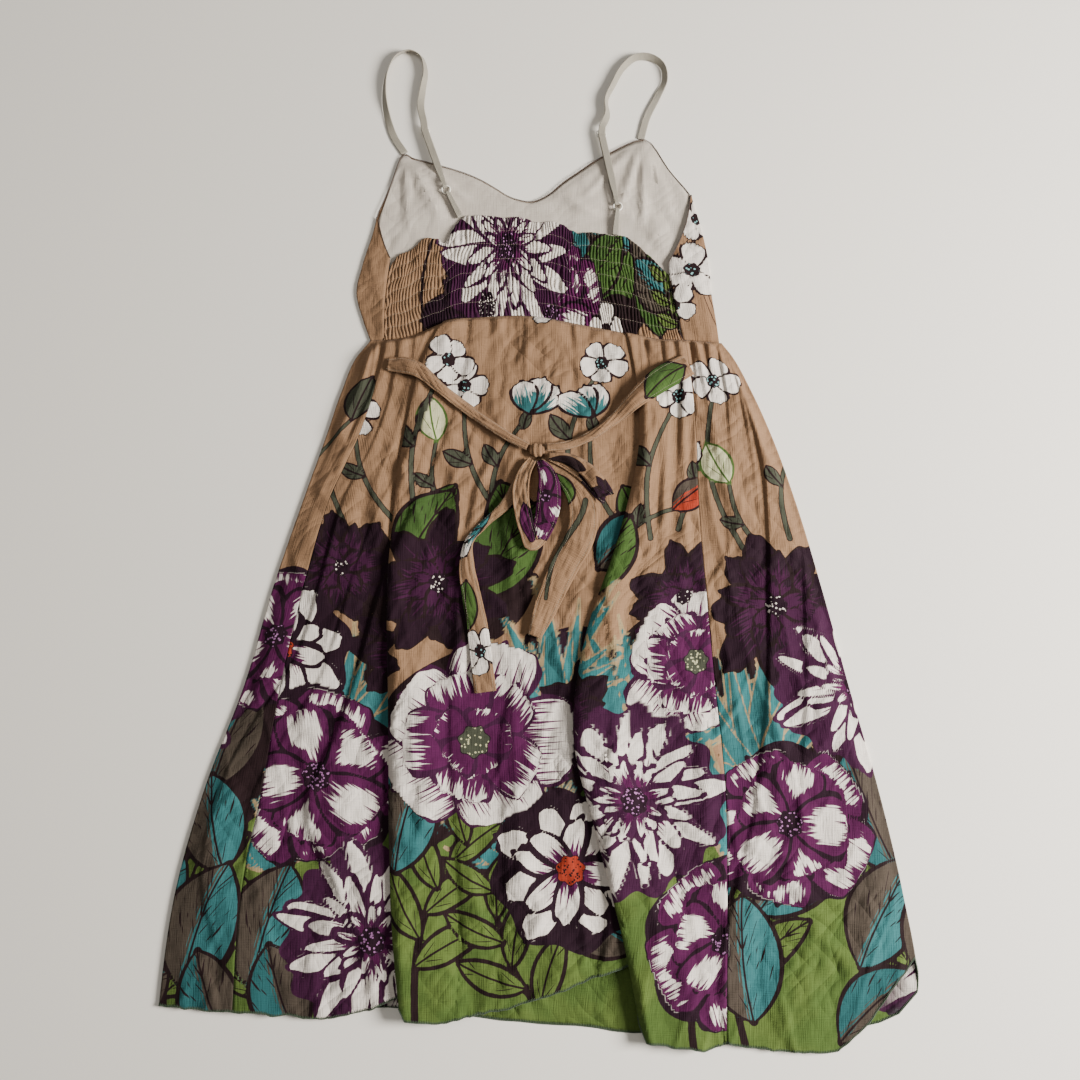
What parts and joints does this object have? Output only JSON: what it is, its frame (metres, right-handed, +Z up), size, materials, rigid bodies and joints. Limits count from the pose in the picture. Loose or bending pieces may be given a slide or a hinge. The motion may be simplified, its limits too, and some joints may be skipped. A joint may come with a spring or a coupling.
{
  "type": "printed cotton sundress laid flat with its back up",
  "caption": "Sleeveless summer dress with a shirred back, lined cups, narrow ribbon straps, a gathered A-line skirt and a sash tied in a bow behind, lying flat.",
  "frame": {"origin": "middle of the dress's outline, on the surface it lies on", "axes": "+Y along the dress towards the straps, +X to the right as the back is looked at, +Z up out of the surface"},
  "size_m": [0.7344, 1.0584, 0.019],
  "materials": {
    "skirt_back": "light printed cotton voile, matt",
    "skirt_front": "light printed cotton voile, matt",
    "bodice_front": "light printed cotton voile, matt",
    "bodice_back_shirred": "printed cotton voile gathered on elastic thread, matt",
    "bodice_lining": "cream cotton voile, matt",
    "sash_tie_left": "light printed cotton voile, matt",
    "sash_tie_right": "light printed cotton voile, matt",
    "sash_knot": "light printed cotton voile, matt",
    "sash_loop_lower": "light printed cotton voile, matt",
    "sash_loop_side": "light printed cotton voile, matt",
    "sash_tail_left": "light printed cotton voile, matt",
    "sash_tail_right": "light printed cotton voile, matt",
    "strap_left": "beige ribbon elastic, soft sheen",
    "strap_right": "beige ribbon elastic, soft sheen",
    "strap_tab_left": "beige ribbon elastic, soft sheen",
    "strap_tab_right": "beige ribbon elastic, soft sheen",
    "strap_ring_left": "cream coated wire",
    "strap_ring_right": "cream coated wire",
    "strap_adjuster_left": "cream coated wire",
    "strap_adjuster_right": "cream coated wire"
  },
  "bodies": {
    "root": {"skirt_back": "skirt_back", "skirt_front": "skirt_front", "bodice_front": "bodice_front", "bodice_back_shirred": "bodice_back_shirred", "bodice_lining": "bodice_lining", "sash_tie_left": "sash_tie_left", "sash_tie_right": "sash_tie_right", "sash_knot": "sash_knot", "sash_loop_lower": "sash_loop_lower", "sash_loop_side": "sash_loop_side", "sash_tail_left": "sash_tail_left", "sash_tail_right": "sash_tail_right", "strap_left": "strap_left", "strap_right": "strap_right", "strap_tab_left": "strap_tab_left", "strap_tab_right": "strap_tab_right", "strap_ring_left": "strap_ring_left", "strap_ring_right": "strap_ring_right", "strap_adjuster_left": "strap_adjuster_left", "strap_adjuster_right": "strap_adjuster_right"}
  },
  "joints": []
}
